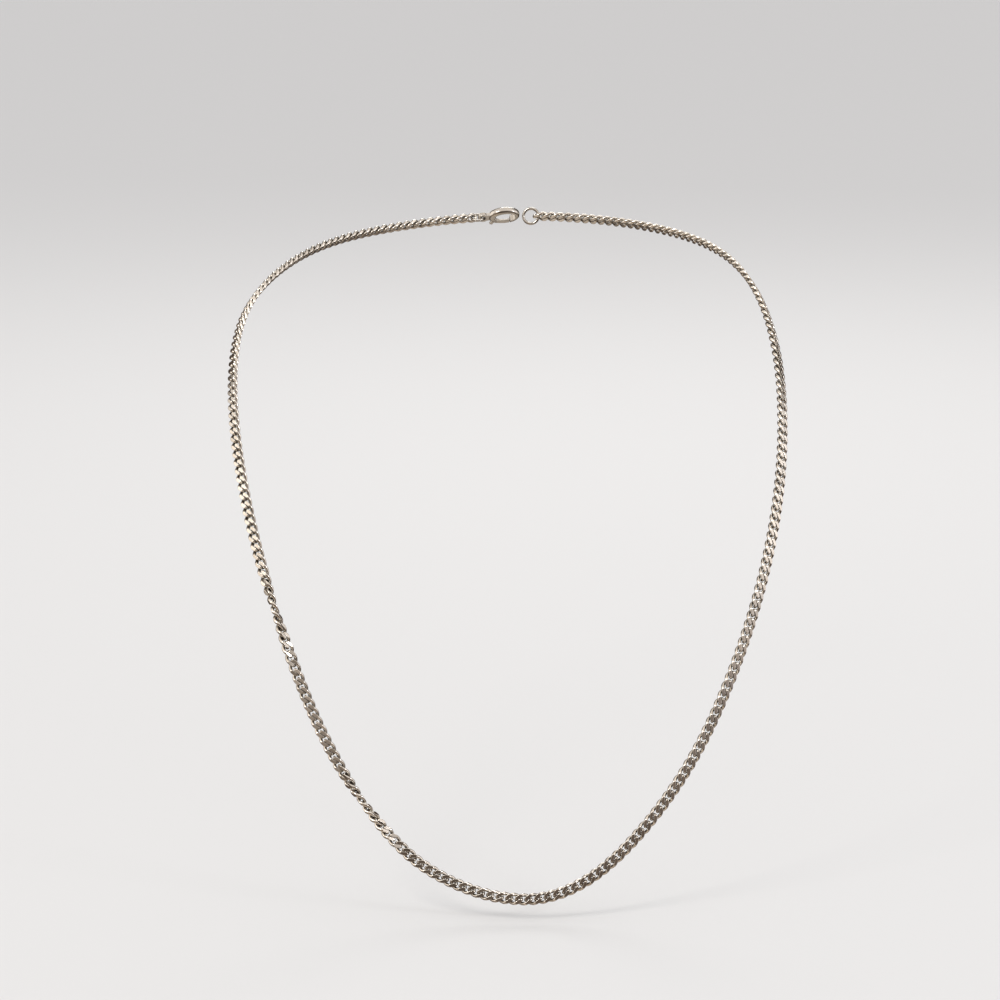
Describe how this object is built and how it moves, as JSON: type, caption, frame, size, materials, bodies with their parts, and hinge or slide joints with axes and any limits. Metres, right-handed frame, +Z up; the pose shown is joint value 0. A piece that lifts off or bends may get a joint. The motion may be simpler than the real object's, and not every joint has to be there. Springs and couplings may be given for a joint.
{
  "type": "chain necklace",
  "caption": "Flat curb chain necklace of twisted oval wire links cut flat on both faces, in its worn drape, with a lobster clasp behind the neck.",
  "frame": {"origin": "middle of the lowest link at the front, where a pendant would hang", "axes": "+Z up, the wearer faces -Y, +X to the viewer's right; the worn loop leans back over the shoulders"},
  "size_m": [0.1475, 0.1506, 0.1573],
  "materials": {
    "chain_metal": "polished silver, bright-cut flats",
    "clasp_metal": "polished silver"
  },
  "bodies": {
    "front_links": {"front_links": "chain_metal"},
    "left_links_01": {"left_links_01": "chain_metal"},
    "left_links_02": {"left_links_02": "chain_metal"},
    "left_links_03": {"left_links_03": "chain_metal"},
    "left_links_04": {"left_links_04": "chain_metal"},
    "left_links_05": {"left_links_05": "chain_metal"},
    "left_links_06": {"left_links_06": "chain_metal"},
    "left_links_07": {"left_links_07": "chain_metal"},
    "left_links_08": {"left_links_08": "chain_metal"},
    "left_links_09": {"left_links_09": "chain_metal"},
    "left_links_10": {"left_links_10": "chain_metal"},
    "left_links_11": {"left_links_11": "chain_metal"},
    "left_links_12": {"left_links_12": "chain_metal"},
    "left_links_13": {"left_links_13": "chain_metal"},
    "left_links_14": {"left_links_14": "chain_metal"},
    "left_links_15": {"left_links_15": "chain_metal"},
    "left_links_16": {"left_links_16": "chain_metal"},
    "left_links_17": {"left_links_17": "chain_metal"},
    "left_links_18": {"left_links_18": "chain_metal"},
    "left_links_19": {"left_links_19": "chain_metal"},
    "left_links_20": {"left_links_20": "chain_metal"},
    "left_links_21": {"left_links_21": "chain_metal"},
    "left_links_22": {"left_links_22": "chain_metal"},
    "left_links_23": {"left_links_23": "chain_metal"},
    "left_links_24": {"left_links_24": "chain_metal"},
    "right_links_01": {"right_links_01": "chain_metal"},
    "right_links_02": {"right_links_02": "chain_metal"},
    "right_links_03": {"right_links_03": "chain_metal"},
    "right_links_04": {"right_links_04": "chain_metal"},
    "right_links_05": {"right_links_05": "chain_metal"},
    "right_links_06": {"right_links_06": "chain_metal"},
    "right_links_07": {"right_links_07": "chain_metal"},
    "right_links_08": {"right_links_08": "chain_metal"},
    "right_links_09": {"right_links_09": "chain_metal"},
    "right_links_10": {"right_links_10": "chain_metal"},
    "right_links_11": {"right_links_11": "chain_metal"},
    "right_links_12": {"right_links_12": "chain_metal"},
    "right_links_13": {"right_links_13": "chain_metal"},
    "right_links_14": {"right_links_14": "chain_metal"},
    "right_links_15": {"right_links_15": "chain_metal"},
    "right_links_16": {"right_links_16": "chain_metal"},
    "right_links_17": {"right_links_17": "chain_metal"},
    "right_links_18": {"right_links_18": "chain_metal"},
    "right_links_19": {"right_links_19": "chain_metal"},
    "right_links_20": {"right_links_20": "chain_metal"},
    "right_links_21": {"right_links_21": "chain_metal"},
    "right_links_22": {"right_links_22": "chain_metal"},
    "right_links_23": {"right_links_23": "chain_metal"},
    "right_links_24": {"right_links_24": "chain_metal"},
    "claw_jump_ring": {"claw_jump_ring": "clasp_metal"},
    "claw": {"claw_body": "clasp_metal", "claw_pin": "clasp_metal", "claw_spring": "clasp_metal"},
    "claw_lever": {"claw_lever": "clasp_metal"},
    "catch_ring": {"catch_ring": "clasp_metal"}
  },
  "joints": [
    {"name": "left_bend_01", "type": "hinge", "parent": "front_links", "child": "left_links_01", "pos_m": [-0.00609, 0.00032, 0.00049], "axis": [0.0037, -0.8633, 0.5047], "range_deg": [0, 16.36]},
    {"name": "left_bend_02", "type": "hinge", "parent": "left_links_01", "child": "left_links_02", "pos_m": [-0.01549, 0.00164, 0.00283], "axis": [-0.0834, -0.9725, 0.2175], "range_deg": [0, 11.27]},
    {"name": "left_bend_03", "type": "hinge", "parent": "left_links_02", "child": "left_links_03", "pos_m": [-0.0242, 0.0033, 0.00694], "axis": [-0.1131, -0.981, 0.1577], "range_deg": [0, 12.54]},
    {"name": "left_bend_04", "type": "hinge", "parent": "left_links_03", "child": "left_links_04", "pos_m": [-0.03178, 0.00513, 0.01284], "axis": [-0.0964, -0.9792, 0.1786], "range_deg": [0, 8.25]},
    {"name": "left_bend_05", "type": "hinge", "parent": "left_links_04", "child": "left_links_05", "pos_m": [-0.03976, 0.00755, 0.0218], "axis": [0.0239, -0.9596, 0.2803], "range_deg": [0, 6.96]},
    {"name": "left_bend_06", "type": "hinge", "parent": "left_links_05", "child": "left_links_06", "pos_m": [-0.04656, 0.01024, 0.03162], "axis": [-0.0586, -0.9722, 0.2268], "range_deg": [0, 6.06]},
    {"name": "left_bend_07", "type": "hinge", "parent": "left_links_06", "child": "left_links_07", "pos_m": [-0.05224, 0.01303, 0.0421], "axis": [0.294, -0.872, 0.3913], "range_deg": [0, 4.83]},
    {"name": "left_bend_08", "type": "hinge", "parent": "left_links_07", "child": "left_links_08", "pos_m": [-0.05705, 0.01626, 0.05289], "axis": [0.7223, -0.5052, 0.4724], "range_deg": [0, 4.73]},
    {"name": "left_bend_09", "type": "hinge", "parent": "left_links_08", "child": "left_links_09", "pos_m": [-0.06127, 0.02031, 0.06365], "axis": [0.8957, -0.1654, 0.4127], "range_deg": [0, 5.44]},
    {"name": "left_bend_10", "type": "hinge", "parent": "left_links_09", "child": "left_links_10", "pos_m": [-0.06513, 0.02541, 0.07409], "axis": [0.8744, -0.221, 0.432], "range_deg": [0, 5.4]},
    {"name": "left_bend_11", "type": "hinge", "parent": "left_links_10", "child": "left_links_11", "pos_m": [-0.06855, 0.03151, 0.08414], "axis": [0.8155, -0.3281, 0.4768], "range_deg": [0, 5.02]},
    {"name": "left_bend_12", "type": "hinge", "parent": "left_links_11", "child": "left_links_12", "pos_m": [-0.07142, 0.03844, 0.09382], "axis": [0.8139, -0.3303, 0.478], "range_deg": [0, 4.48]},
    {"name": "left_bend_13", "type": "hinge", "parent": "left_links_12", "child": "left_links_13", "pos_m": [-0.07378, 0.04607, 0.1031], "axis": [0.7684, -0.3848, 0.5113], "range_deg": [0, 4.59]},
    {"name": "left_bend_14", "type": "hinge", "parent": "left_links_13", "child": "left_links_14", "pos_m": [-0.07552, 0.05435, 0.11195], "axis": [0.7039, -0.4443, 0.5542], "range_deg": [0, 5.27]},
    {"name": "left_bend_15", "type": "hinge", "parent": "left_links_14", "child": "left_links_15", "pos_m": [-0.07647, 0.06326, 0.1203], "axis": [0.6725, -0.4667, 0.5744], "range_deg": [0, 6.28]},
    {"name": "left_bend_16", "type": "hinge", "parent": "left_links_15", "child": "left_links_16", "pos_m": [-0.07644, 0.07278, 0.128], "axis": [0.6101, -0.4993, 0.6151], "range_deg": [0, 8.49]},
    {"name": "left_bend_17", "type": "hinge", "parent": "left_links_16", "child": "left_links_17", "pos_m": [-0.07496, 0.08288, 0.13474], "axis": [0.5561, -0.5159, 0.6516], "range_deg": [0, 11.42]},
    {"name": "left_bend_18", "type": "hinge", "parent": "left_links_17", "child": "left_links_18", "pos_m": [-0.07154, 0.09333, 0.14009], "axis": [0.5595, -0.5156, 0.6489], "range_deg": [0, 9.61]},
    {"name": "left_bend_19", "type": "hinge", "parent": "left_links_18", "child": "left_links_19", "pos_m": [-0.06657, 0.10377, 0.1441], "axis": [0.5246, -0.5112, 0.6808], "range_deg": [0, 7.37]},
    {"name": "left_bend_20", "type": "hinge", "parent": "left_links_19", "child": "left_links_20", "pos_m": [-0.06045, 0.11395, 0.14704], "axis": [0.3477, -0.4466, 0.8244], "range_deg": [0, 7.97]},
    {"name": "left_bend_21", "type": "hinge", "parent": "left_links_20", "child": "left_links_21", "pos_m": [-0.05306, 0.12349, 0.14909], "axis": [0.1932, -0.3468, 0.9178], "range_deg": [0, 9.06]},
    {"name": "left_bend_22", "type": "hinge", "parent": "left_links_21", "child": "left_links_22", "pos_m": [-0.04427, 0.13189, 0.15041], "axis": [0.0592, -0.2156, 0.9747], "range_deg": [0, 9.42]},
    {"name": "left_bend_23", "type": "hinge", "parent": "left_links_22", "child": "left_links_23", "pos_m": [-0.03421, 0.13879, 0.15133], "axis": [-0.0333, -0.0835, 0.9959], "range_deg": [0, 10.11]},
    {"name": "left_bend_24", "type": "hinge", "parent": "left_links_23", "child": "left_links_24", "pos_m": [-0.02308, 0.14382, 0.15213], "axis": [-0.0384, -0.0725, 0.9966], "range_deg": [0, 10]},
    {"name": "right_bend_01", "type": "hinge", "parent": "front_links", "child": "right_links_01", "pos_m": [0.00607, 0.00037, 0.00056], "axis": [-0.005, 0.9539, -0.3002], "range_deg": [0, 17.07]},
    {"name": "right_bend_02", "type": "hinge", "parent": "right_links_01", "child": "right_links_02", "pos_m": [0.01074, 0.00083, 0.00194], "axis": [-0.0136, 0.9616, -0.274], "range_deg": [0, 10.63]},
    {"name": "right_bend_03", "type": "hinge", "parent": "right_links_02", "child": "right_links_03", "pos_m": [0.01722, 0.00187, 0.00522], "axis": [0.0684, 0.9058, -0.4181], "range_deg": [0, 12.71]},
    {"name": "right_bend_04", "type": "hinge", "parent": "right_links_03", "child": "right_links_04", "pos_m": [0.0265, 0.0046, 0.01268], "axis": [-0.1358, 0.9725, -0.1889], "range_deg": [0, 8.91]},
    {"name": "right_bend_05", "type": "hinge", "parent": "right_links_04", "child": "right_links_05", "pos_m": [0.03448, 0.00744, 0.02152], "axis": [0.0448, 0.939, -0.341], "range_deg": [0, 5.97]},
    {"name": "right_bend_06", "type": "hinge", "parent": "right_links_05", "child": "right_links_06", "pos_m": [0.04144, 0.01058, 0.03109], "axis": [-0.0021, 0.9505, -0.3106], "range_deg": [0, 5.9]},
    {"name": "right_bend_07", "type": "hinge", "parent": "right_links_06", "child": "right_links_07", "pos_m": [0.04734, 0.01393, 0.04129], "axis": [0.3314, 0.8229, -0.4615], "range_deg": [0, 5.09]},
    {"name": "right_bend_08", "type": "hinge", "parent": "right_links_07", "child": "right_links_08", "pos_m": [0.05233, 0.01781, 0.05177], "axis": [0.7312, 0.449, -0.5136], "range_deg": [0, 5.4]},
    {"name": "right_bend_09", "type": "hinge", "parent": "right_links_08", "child": "right_links_09", "pos_m": [0.05667, 0.02262, 0.06216], "axis": [0.6638, 0.5331, -0.5245], "range_deg": [0, 4.41]},
    {"name": "right_bend_10", "type": "hinge", "parent": "right_links_09", "child": "right_links_10", "pos_m": [0.06037, 0.02813, 0.07245], "axis": [0.5192, 0.6614, -0.5412], "range_deg": [0, 3.87]},
    {"name": "right_bend_11", "type": "hinge", "parent": "right_links_10", "child": "right_links_11", "pos_m": [0.06341, 0.03413, 0.08269], "axis": [0.4944, 0.6783, -0.5436], "range_deg": [0, 4.03]},
    {"name": "right_bend_12", "type": "hinge", "parent": "right_links_11", "child": "right_links_12", "pos_m": [0.06572, 0.04058, 0.09284], "axis": [0.6242, 0.5872, -0.5153], "range_deg": [0, 4.72]},
    {"name": "right_bend_13", "type": "hinge", "parent": "right_links_12", "child": "right_links_13", "pos_m": [0.06726, 0.04763, 0.10274], "axis": [0.7197, 0.5076, -0.4736], "range_deg": [0, 5.35]},
    {"name": "right_bend_14", "type": "hinge", "parent": "right_links_13", "child": "right_links_14", "pos_m": [0.06802, 0.05538, 0.11219], "axis": [0.7499, 0.4811, -0.4542], "range_deg": [0, 5.39]},
    {"name": "right_bend_15", "type": "hinge", "parent": "right_links_14", "child": "right_links_15", "pos_m": [0.06801, 0.06379, 0.12109], "axis": [0.6338, 0.5623, -0.5311], "range_deg": [0, 5.65]},
    {"name": "right_bend_16", "type": "hinge", "parent": "right_links_15", "child": "right_links_16", "pos_m": [0.06706, 0.07271, 0.12942], "axis": [0.5576, 0.5969, -0.5768], "range_deg": [0, 6.72]},
    {"name": "right_bend_17", "type": "hinge", "parent": "right_links_16", "child": "right_links_17", "pos_m": [0.06495, 0.08206, 0.13703], "axis": [0.7323, 0.5224, -0.4369], "range_deg": [0, 9.39]},
    {"name": "right_bend_18", "type": "hinge", "parent": "right_links_17", "child": "right_links_18", "pos_m": [0.06154, 0.09202, 0.14325], "axis": [0.7341, 0.5217, -0.4347], "range_deg": [0, 10.73]},
    {"name": "right_bend_19", "type": "hinge", "parent": "right_links_18", "child": "right_links_19", "pos_m": [0.05679, 0.10239, 0.14766], "axis": [0.6188, 0.5304, -0.5795], "range_deg": [0, 10.51]},
    {"name": "right_bend_20", "type": "hinge", "parent": "right_links_19", "child": "right_links_20", "pos_m": [0.05059, 0.11258, 0.15038], "axis": [0.4924, 0.4907, -0.7188], "range_deg": [0, 8.95]},
    {"name": "right_bend_21", "type": "hinge", "parent": "right_links_20", "child": "right_links_21", "pos_m": [0.04312, 0.12217, 0.15181], "axis": [0.29, 0.358, -0.8875], "range_deg": [0, 7.12]},
    {"name": "right_bend_22", "type": "hinge", "parent": "right_links_21", "child": "right_links_22", "pos_m": [0.03458, 0.13091, 0.15255], "axis": [0.0963, 0.1767, -0.9795], "range_deg": [0, 8.58]},
    {"name": "right_bend_23", "type": "hinge", "parent": "right_links_22", "child": "right_links_23", "pos_m": [0.02485, 0.13831, 0.15293], "axis": [0.0188, 0.0758, -0.9969], "range_deg": [0, 11.36]},
    {"name": "right_bend_24", "type": "hinge", "parent": "right_links_23", "child": "right_links_24", "pos_m": [0.01386, 0.14366, 0.15313], "axis": [0.0163, 0.0708, -0.9974], "range_deg": [0, 11.05]},
    {"name": "claw_ring_swing", "type": "hinge", "parent": "left_links_24", "child": "claw_jump_ring", "pos_m": [-0.01408, 0.1462, 0.15265], "axis": [0.151, -0.9118, -0.382], "range_deg": [-25, 25]},
    {"name": "claw_swing", "type": "hinge", "parent": "claw_jump_ring", "child": "claw", "pos_m": [-0.01081, 0.14665, 0.15279], "axis": [0.151, -0.9118, -0.382], "range_deg": [-20, 20]},
    {"name": "claw_lever_press", "type": "hinge", "parent": "claw", "child": "claw_lever", "pos_m": [-0.00772, 0.14781, 0.15208], "axis": [0.1122, -0.7175, -0.6875], "range_deg": [0, 25], "stiffness_Nm_per_rad": 0.001},
    {"name": "catch_ring_swing", "type": "hinge", "parent": "right_links_24", "child": "catch_ring", "pos_m": [0.00492, 0.14614, 0.15316], "axis": [0.0313, 0.2797, 0.9596], "range_deg": [-30, 30]}
  ]
}
